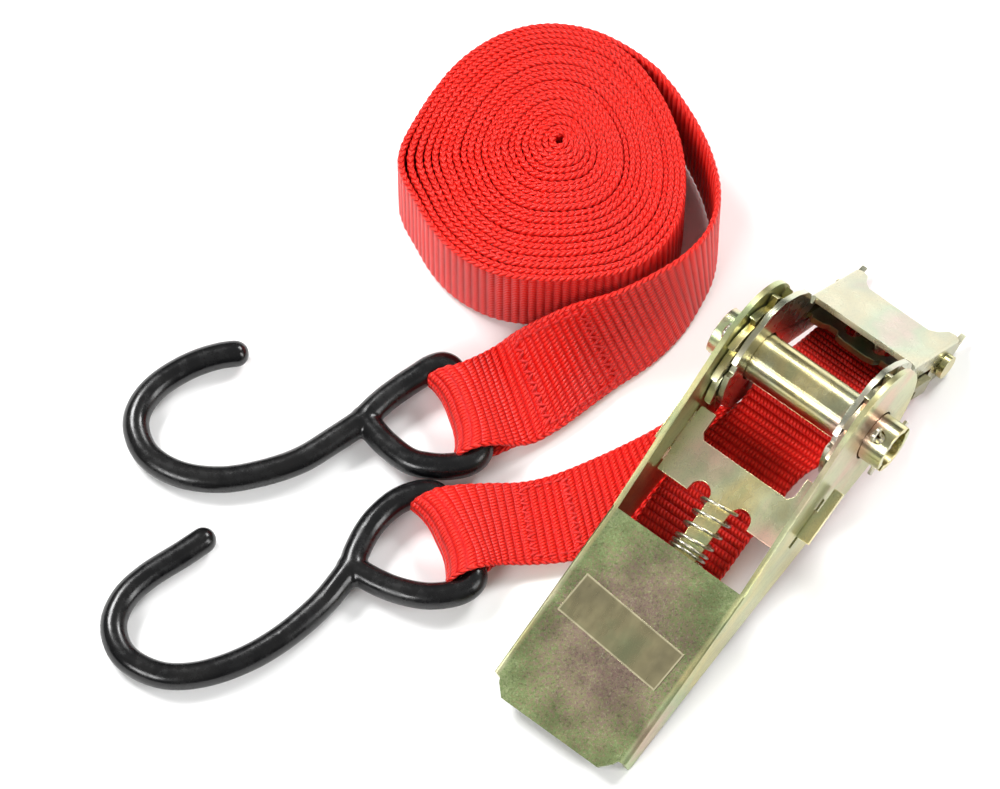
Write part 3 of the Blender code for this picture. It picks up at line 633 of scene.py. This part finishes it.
LONG_BAR = (table(-7.1, -6.8, EYE_BAR_Z / MM), Vector((0.31, -0.95, 0)).normalized())
SHORT_BAR = (table(-9.8, -37.2, EYE_BAR_Z / MM), Vector((0.395, -0.919, 0)).normalized())
LONG_SEWN = [
    station((-1.6, 9.8, 4.4), (6.2, -14.2, 3.3)),
    station((3.6, 11.6, 9.0), (13.0, -10.3, 2.5)),
    station((9.6, 11.9, 15.8), (19.4, -5.2, 2.4)),
]
LONG_FREE = [
    station((16.4, 12.4, 21.4), (26.4, 1.0, 1.4)),
    station((25.8, 14.4, 23.6), (34.4, 7.2, 0.8)),
    station((34.4, 18.4, 24.4), (40.8, 14.0, 0.7)),
    station((42.0, 23.4, 25.0), (45.0, 21.0, 0.7)),
    station((47.4, 30.0, 25.2), (48.4, 29.0, 0.7)),
    station((49.4, 38.4, 25.4), (49.2, 37.8, 0.7)),
    station((47.9, 47.6, 25.5), (47.5, 47.4, 0.7)),
    station((44.4, 56.6, 25.5), (44.0, 56.6, 0.7)),
    station((39.5, 65.2, 25.5), (39.2, 65.2, 0.7)),
]
SHORT_SEWN = [
    station((-3.4, -24.8, 5.9), (0.8, -44.4, 4.8)),
    station((4.6, -23.6, 3.8), (8.2, -43.8, 3.6)),
    station((12.0, -21.2, 2.6), (16.4, -42.4, 2.6)),
]
SHORT_FREE = [
    station((22.0, -16.2, 1.3), (27.5, -38.6, 1.3)),
    station((32.0, -11.2, 1.8), (40.5, -33.6, 1.8)),
    station((41.5, -6.6, 4.2), (52.5, -28.8, 4.0)),
]
UNDER_AXLE = [
    ((-18.6, -8.5, 6.3), (5.0, -14.6, 8.2)),
    ((-13.8, -3.8, 8.9), (9.9, -7.1, 13.0)),
    ((-12.6, 1.5, 12.2), (12.3, -1.0, 15.8)),
]
FLAP = [
    ((-12.6, -7.5, 16.2), (11.6, -7.5, 16.4)),
    ((-14.4, -13.5, 13.2), (9.0, -13.5, 13.6)),
    ((-16.2, -21.0, 10.6), (8.2, -21.0, 11.2)),
    ((-16.4, -31.0, 8.3), (8.0, -31.0, 8.8)),
    ((-16.2, -41.0, 5.6), (8.1, -41.0, 6.4)),
    ((-15.4, -48.0, 3.8), (7.6, -48.0, 4.6)),
]
TO_PIN = [(15.0, -5.1), (25.0, -3.0), (30.0, -1.7), (33.2, -0.4), (36.2, 1.1)]
FROM_PIN = [(35.5, 3.9), (34.2, 2.3), (31.5, 0.7), (26.0, -1.0), (15.0, -3.3), (5.2, -5.6)]
COIL = [
    (-22.5, 48.0), (-20.5, 55.0), (-16.0, 64.5), (-9.0, 73.5), (0.5, 80.0), (11.0, 82.5),
    (22.0, 80.5), (30.5, 75.0), (36.4, 67.0), (40.3, 58.5), (42.6, 50.0), (43.2, 40.5),
    (41.5, 31.0), (37.0, 23.6), (30.0, 18.4), (21.0, 16.2), (10.0, 15.6), (-1.5, 17.4),
    (-10.5, 22.5), (-16.5, 29.5), (-20.0, 37.5), (-22.0, 43.0),
]
COIL_CENTRE = (10.4, 48.0)
COIL_HEART = (13.8, 52.2)
COIL_BOTTOM, COIL_TOP = 0.9, 25.3
COIL_INSET = 0.85
HEART_RADIUS = 1.2
JOIN_ANGLE = radians(48)

# One side of the outer turns bulges, and the bulge dies away from turn to turn
BULGE, BULGE_DENT, BULGE_ANGLE, BULGE_WIDTH = 2.3, 0.5, radians(182), radians(21)
BULGE_DECAY = 0.34

# Where the turns gape: (share of the way in, angle, width)
GAPE = 0.42
GAPES = ((0.30, radians(-70), 1.0), (0.52, radians(35), 0.8), (0.22, radians(110), 0.8))


def smooth_edges(stations, steps):
    left = smooth_path([a for a, _ in stations], steps)
    right = smooth_path([b for _, b in stations], steps)
    return list(zip(left, right))


def coil_radius(outline, turn):
    """The roll's radius in millimetres toward an angle, from its outline as (angle, radius) in order."""
    turn = turn % (2 * pi)
    for (a, r), (b, s) in zip(outline, outline[1:] + [(outline[0][0] + 2 * pi, outline[0][1])]):
        if a <= turn < b or a <= turn + 2 * pi < b:
            t = ((turn if a <= turn < b else turn + 2 * pi) - a) / (b - a)
            return r + (s - r) * t
    return outline[0][1]


def from_coil_centre(point):
    """(angle, distance) of a point in millimetres, seen from the roll's centre."""
    x, y = point.x - COIL_CENTRE[0], point.y - COIL_CENTRE[1]
    return atan2(y, x) % (2 * pi), hypot(x, y)

def hump(angle, middle, width):
    """1 at the middle angle, falling off smoothly to both sides of it."""
    off = (angle - middle + pi) % (2 * pi) - pi
    return exp(-((off / width) ** 2))

def coil_stations():
    """The wound part, from the tail's end to its heart: turns that drift, gape and stand unevenly."""
    smooth = smooth_path([Vector(point) for point in COIL], 8, closed=True)
    outline = sorted(from_coil_centre(point) for point in smooth)
    first, join_radius = from_coil_centre((LONG_FREE[-1][0] + BOX_CENTRE) / MM)
    stations = []
    per_turn = 72
    for i in range(2, TURNS * per_turn + 1):
        turn = 2 * pi * i / per_turn
        angle = first + turn
        share = i / (TURNS * per_turn)
        outer = coil_radius(outline, angle) - COIL_INSET
        loose = exp(-BULGE_DECAY * turn / (2 * pi))
        outer += (BULGE * loose - BULGE_DENT) * hump(angle, BULGE_ANGLE, BULGE_WIDTH)
        if turn < JOIN_ANGLE:
            ease = turn / JOIN_ANGLE
            ease = ease * ease * (3 - 2 * ease)
            outer = join_radius * (1 - ease) + outer * ease
        radius = outer * (1 - share) + HEART_RADIUS * share
        uneven = min(1.0, 6 * share) * min(1.0, 6 * (1 - share))
        drift = 0.10 * sin(turn / 7.3 + 1.1) + 0.05 * sin(turn / 3.1) + 0.05 * sin(angle * 3 + turn / 40)
        radius += uneven * drift
        for depth, side, width in GAPES:
            step = 1 / (1 + exp((share - depth) * TURNS * 5))
            radius += GAPE * (step - 0.5) * hump(angle, side, width)
        x = COIL_CENTRE[0] + (COIL_HEART[0] - COIL_CENTRE[0]) * share + radius * cos(angle)
        y = COIL_CENTRE[1] + (COIL_HEART[1] - COIL_CENTRE[1]) * share + radius * sin(angle)
        rise = uneven * (0.32 * sin(turn / 2.35 + 0.6) + 0.22 * sin(turn / 5.9))
        stations.append((table(x, y, COIL_TOP + rise), table(x, y, COIL_BOTTOM + 0.5 * rise)))
    return stations


# ---------------------------------------------------------------- Pieces


def make_long_strap(red, stitching):
    centre, across = LONG_BAR
    around = wrap(centre, across, LOOP_HALF_WIDTH, LOOP_RADIUS, -80, -300, 9)
    flap = below(LONG_SEWN + LONG_FREE[:1], FLAP_DROP)
    tail = smooth_edges(list(reversed(flap)) + around + LONG_SEWN + LONG_FREE, 20)
    sewn = [(a + b) / 2 for a, b in LONG_SEWN]
    strap = Strap(tail + coil_stations(), sewn[1], ROW_SPACING)
    near = Strap(tail, sewn[1], ROW_SPACING)

    heart = table(*COIL_HEART, 0)
    crowded = (heart - table(*COIL_CENTRE, 0)).normalized()

    def thickness_at(distance, middle):
        """In the roll the turns fill the room they have: less on the side that its heart has moved to."""
        toward = Vector((middle.x - heart.x, middle.y - heart.y, 0)).normalized().dot(crowded)
        share = min(max((distance - near.length) / ROLL_START, 0), 1)
        return WEBBING + share * (ROLLED_SHEET - WEBBING - 0.13 * MM * toward)

    mesh = strap_mesh("long_strap_webbing", strap, thickness_at, 8, LONG_BAR, 0.0)
    webbing = show("long_strap_webbing", mesh, red)
    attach(webbing, "long_strap_body")
    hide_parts("long_strap_coil", "long_strap_tail")
    stitches = stitched_patch(
        "long_strap_thread",
        near,
        near.distance_near(sewn[1].lerp(sewn[2], -0.1)),
        near.distance_near(sewn[1].lerp(sewn[2], 1.0)) + 9 * MM,
        stitching,
    )
    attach(stitches, "long_strap_body")
    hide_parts("long_strap_stitches")


def make_short_strap(red, stitching):
    centre, across = SHORT_BAR
    around = wrap(centre, across, LOOP_HALF_WIDTH, LOOP_RADIUS, -80, -300, 9)
    flap = below(SHORT_SEWN, FLAP_DROP)
    stations = list(reversed(flap)) + around + SHORT_SEWN + SHORT_FREE
    stations += [beside_axle(*edges) for edges in UNDER_AXLE]
    stations += [across_frame(y * MM, z * MM) for y, z in TO_PIN]
    steps = 7
    for i in range(steps + 1):
        turn = radians(-80 + 245 * i / steps)
        y, z = PIN_Y + PIN_LOOP_RADIUS * cos(turn), PIN_Z + PIN_LOOP_RADIUS * sin(turn)
        stations.append(across_frame(y, z))
    stations += [across_frame(y * MM, z * MM) for y, z in FROM_PIN]
    stations += [beside_axle(*edges) for edges in FLAP]
    sewn = [(a + b) / 2 for a, b in SHORT_SEWN]
    strap = Strap(smooth_edges(stations, 20), sewn[1], ROW_SPACING)

    def thickness_at(distance, middle):
        return WEBBING - 0.05 * MM

    mesh = strap_mesh("short_strap_webbing", strap, thickness_at, 12, SHORT_BAR, 0.1 * MM)
    webbing = show("short_strap_webbing", mesh, red)
    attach(webbing, "frame_body")
    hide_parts("short_strap")
    stitches = stitched_patch(
        "short_strap_thread",
        strap,
        strap.distance_near(sewn[1].lerp(sewn[2], -0.05)),
        strap.distance_near(sewn[1].lerp(sewn[2], 1.25)),
        stitching,
    )
    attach(stitches, "frame_body")
    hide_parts("short_strap_stitches")


LONG_SHANK = [
    (-57.0, 8.9), (-63.7, 8.2), (-71.0, 5.4), (-78.0, 0.4), (-81.8, -5.4), (-82.1, -11.2),
    (-79.0, -17.2), (-72.1, -21.4), (-63.1, -22.7), (-54.1, -21.3), (-45.1, -18.2), (-36.8, -12.8),
    (-30.6, -8.4),
]
LONG_EYE = [
    (-30.2, -8.0), (-26.4, -3.8), (-22.3, -0.5), (-18.6, 2.1), (-15.4, 4.3), (-12.4, 4.9),
    (-10.2, 2.5), (-7.4, -6.0), (-4.7, -14.3), (-4.8, -17.1), (-6.9, -19.2), (-10.6, -20.2),
    (-15.0, -20.2), (-20.3, -18.9), (-25.4, -14.8), (-29.0, -10.5),
]
SHORT_SHANK = [
    (-64.2, -35.8), (-70.6, -40.6), (-79.3, -46.7), (-84.4, -52.4), (-86.2, -59.2), (-83.3, -66.1),
    (-75.6, -70.3), (-66.7, -70.2), (-56.8, -66.7), (-47.9, -61.1), (-39.6, -53.4), (-33.4, -45.0),
]
SHORT_EYE = [
    (-32.8, -44.2), (-31.2, -38.8), (-28.2, -33.6), (-24.2, -29.6), (-20.6, -27.6), (-17.2, -26.8),
    (-14.8, -27.1), (-13.4, -28.9), (-9.8, -37.2), (-6.3, -45.4), (-5.9, -48.2), (-8.1, -50.5),
    (-12.2, -51.8), (-17.6, -51.9), (-24.0, -50.1), (-29.8, -47.1),
]


def hook_path(points):
    """Hook points on their gently tilted plane: low at the bow, raised at the eye."""
    bow_x, eye_x = -60.0, -18.0
    path = []
    for x, y in points:
        share = min(max((x - bow_x) / (eye_x - bow_x), 0), 1)
        path.append(table(x, y, (HOOK_BOW_Z + (EYE_BAR_Z - HOOK_BOW_Z) * share) / MM))
    return path


def make_hook(name, body, node, shank, eye, vinyl):
    """Dip-coated wire: a rounded tip, an open bow and a shank that runs into the closed eye with a fillet."""
    bow = smooth_path(hook_path(shank), 14)
    back = (bow[0] - bow[1]).normalized()
    tip_shares = [sin(pi / 2 * k / 8) for k in range(1, 8)]
    tip = [bow[0] - back * WIRE_RADIUS * (1 - cos(pi / 2 * k / 8)) for k in range(1, 8)]
    kept = [p for p in bow if (p - bow[0]).length > WIRE_RADIUS]
    bow_mesh = tube(name, tip + kept, WIRE_RADIUS, 8, tip=tip_shares)
    ring = tube(name, smooth_path(hook_path(eye), 10, closed=True), WIRE_RADIUS, 8, closed=True)
    shape = bmesh.new()
    shape.from_mesh(bow_mesh)
    shape.from_mesh(ring)
    joint = Matrix.Translation(bow[-1]) @ Matrix.Diagonal((1.12, 1.12, 0.98, 1))
    bmesh.ops.create_icosphere(shape, subdivisions=3, radius=WIRE_RADIUS, matrix=joint)
    mesh = bpy.data.meshes.new(name)
    shape.to_mesh(mesh)
    shape.free()
    hook = show(name, mesh, vinyl)
    remesh = hook.modifiers.new("join", "REMESH")
    remesh.mode = "VOXEL"
    remesh.voxel_size = 0.42 * MM
    soften = hook.modifiers.new("fillet", "SMOOTH")
    soften.factor = 0.5
    soften.iterations = 9
    applied(hook)
    hook.data.materials.clear()
    hook.data.materials.append(vinyl)
    hook.data.shade_smooth()
    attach(hook, body)
    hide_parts(node)


def make_spring(name, node, tilt, sizes, wire):
    """A fine coil that stretches between the pawl and the lug behind it."""
    radius, gauge, start, tight, end, height, open_turns, tight_turns = sizes
    per_turn = 36
    turn_frame = local_frame(tilt)
    path = []
    for i in range(int(per_turn * (open_turns + tight_turns)) + 1):
        turn = i / per_turn
        if turn < open_turns:
            y = start + (tight - start) * turn / open_turns
        else:
            y = tight + (end - tight) * (turn - open_turns) / tight_turns
        x, rise = radius * cos(2 * pi * turn), radius * sin(2 * pi * turn)
        path.append(turn_frame @ Vector((x, y, height + rise)))
    spring = show(name, tube(name, path, gauge, 4), wire)
    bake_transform(spring)
    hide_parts(node)


def mark_bend(obj, tilt, half_width, top):
    """The corners where the web is folded down into the side plates."""
    into = local_frame(tilt).inverted()
    close = 0.05 * MM
    corners = []
    for vertex in obj.data.vertices:
        place = into @ vertex.co
        if abs(abs(place.x) - half_width) < close and abs(place.z - top) < close:
            corners.append(vertex.index)
    obj.vertex_groups.new(name="bend").add(corners, 1.0, "REPLACE")


def dress(node, material, bevel=0.14 * MM, fold=None):
    """A CAD piece with its finish, and a small rolled edge on its sheet. A folded piece has rounder corners
    along its fold."""
    obj = nodes[node]
    obj.data.materials.clear()
    obj.data.materials.append(material)
    obj.data.shade_smooth()
    weld = obj.modifiers.new("weld", "WELD")
    weld.merge_threshold = 1e-6
    flat = obj.modifiers.new("flat", "DECIMATE")
    flat.decimate_type = "DISSOLVE"
    flat.angle_limit = radians(0.6)
    if fold:
        mark_bend(obj, *fold)
        bend = obj.modifiers.new("bend", "BEVEL")
        bend.width = 0.9 * MM
        bend.segments = 5
        bend.limit_method = "VGROUP"
        bend.vertex_group = "bend"
    edge = obj.modifiers.new("edge", "BEVEL")
    edge.width = bevel
    edge.segments = 2
    edge.limit_method = "ANGLE"
    edge.angle_limit = radians(34)
    edge.harden_normals = True
    edge.use_clamp_overlap = True
    even = obj.modifiers.new("even", "WEIGHTED_NORMAL")
    even.weight = 100


# ---------------------------------------------------------------- The room


def make_room():
    floor_z = -0.05 * MM
    half = 1.6
    shape = bmesh.new()
    bmesh.ops.create_grid(shape, x_segments=1, y_segments=1, size=half)
    mesh = bpy.data.meshes.new("floor")
    shape.to_mesh(mesh)
    shape.free()
    paper = Nodes("paper")
    paper.set(Base_Color=(0.93, 0.93, 0.93, 1), Roughness=0.9, Specular_IOR_Level=0.1)
    floor = show("floor", mesh, paper.material)
    floor.location.z = floor_z

    world = bpy.data.worlds.new("studio")
    bpy.context.scene.world = world
    world.use_nodes = True
    tree = world.node_tree
    direction = tree.nodes.new("ShaderNodeTexCoord")
    split = tree.nodes.new("ShaderNodeSeparateXYZ")
    ramp = tree.nodes.new("ShaderNodeValToRGB")
    ramp.color_ramp.elements[0].position = 0.05
    ramp.color_ramp.elements[0].color = (0.07, 0.072, 0.075, 1)
    ramp.color_ramp.elements[1].position = 0.9
    ramp.color_ramp.elements[1].color = (0.62, 0.62, 0.60, 1)
    tree.links.new(direction.outputs["Generated"], split.inputs[0])
    tree.links.new(split.outputs["Z"], ramp.inputs[0])
    background = tree.nodes["Background"]
    tree.links.new(ramp.outputs[0], background.inputs["Color"])
    background.inputs["Strength"].default_value = 0.6

    target = Vector((0, 0, 0.01))
    for name, place, size, power in (
        ("back_left", (-0.75, 0.62, 1.05), (0.55, 0.4), 20.0),
        ("back_right", (0.7, 0.75, 1.0), (0.5, 0.35), 12.5),
        ("right", (1.15, -0.45, 0.7), (0.4, 0.8), 9.0),
        ("front_left", (-0.75, -0.95, 0.85), (0.6, 0.4), 12.0),
    ):
        light = bpy.data.lights.new(name, "AREA")
        light.shape = "RECTANGLE"
        light.size, light.size_y = size
        light.energy = power
        lamp = bpy.data.objects.new(name, light)
        lamp.location = place
        lamp.rotation_euler = (target - Vector(place)).to_track_quat("-Z", "Y").to_euler()
        bpy.context.scene.collection.objects.link(lamp)

    camera = bpy.data.cameras.new("camera")
    camera.lens = 237.6
    camera.sensor_width = 36
    camera.clip_end = 20
    camera.clip_start = 0.05
    view = bpy.data.objects.new("camera", camera)
    view.location = Vector((-8.5, -628.7, 1359.5)) * MM
    view.rotation_euler = (radians(25), 0, 0)
    bpy.context.scene.collection.objects.link(view)
    bpy.context.scene.camera = view
    bpy.context.scene.view_settings.view_transform = "Standard"


make_room()
red = webbing_material("red_webbing", (0.50, 0.0, 0.0), (1.0, 0.03, 0.018), (1.0, 0.34, 0.22))
stitching = thread_material()
vinyl = vinyl_material()
wire = wire_material()
zinc = plated_material("zinc_plate", 0.24)
# Painted light: a lightened copy of the zinc (tone 1.38, pale grain) for the drive pawl, standing in for the
# brighter reflection it shows
painted_light_pawl_zinc = plated_material("drive_pawl_painted_light_plate", 0.26, tone=1.38, shade=(0.62, 0.58, 0.40))
# Painted shade: a darkened copy of the zinc (tone 0.4, dark grain) for the static pawl, standing in for the
# shade it lies in beyond the drum
painted_shade_zinc = plated_material("static_pawl_painted_shade_plate", 0.3, tone=0.4, shade=(0.16, 0.13, 0.09))
frame_zinc = plated_material("frame_zinc_plate", 0.27, tone=0.84, wash=0.5, shade=(0.40, 0.40, 0.34))
dark_zinc = plated_material("dark_zinc_plate", 0.34, grip=True, shade=(0.24, 0.24, 0.16))
label = label_material()

make_long_strap(red, stitching)
make_short_strap(red, stitching)
make_hook("long_hook_vinyl", "long_hook_body", "long_strap_hook", LONG_SHANK, LONG_EYE, vinyl)
make_hook("short_hook_vinyl", "short_hook_body", "short_strap_hook", SHORT_SHANK, SHORT_EYE, vinyl)
make_spring("drive_spring_coil", "drive_pawl_spring", HANDLE_TILT, DRIVE_SPRING, wire)
make_spring("static_spring_coil", "static_pawl_spring", FRAME_TILT, STATIC_SPRING, wire)
dress("frame", frame_zinc, fold=(FRAME_TILT, FRAME_HALF_WIDTH, WEB_TOP))
for node in ("strap_pin", "axle_half_upper", "axle_half_lower"):
    dress(node, zinc)
# The drive pawl's plating carries painted light
dress("drive_pawl", painted_light_pawl_zinc)
# The static pawl's plating carries painted shade
dress("static_pawl", painted_shade_zinc)
for node in ("ratchet_wheel_left", "ratchet_wheel_right"):
    dress(node, zinc, 0.1 * MM)
for node in ("cotter_pin_left", "cotter_pin_right"):
    dress(node, wire, 0.02 * MM)
dress("handle", dark_zinc, fold=(HANDLE_TILT, HANDLE_HALF_WIDTH, WEB_TOP))
dress("handle_label", label, 0.03 * MM)
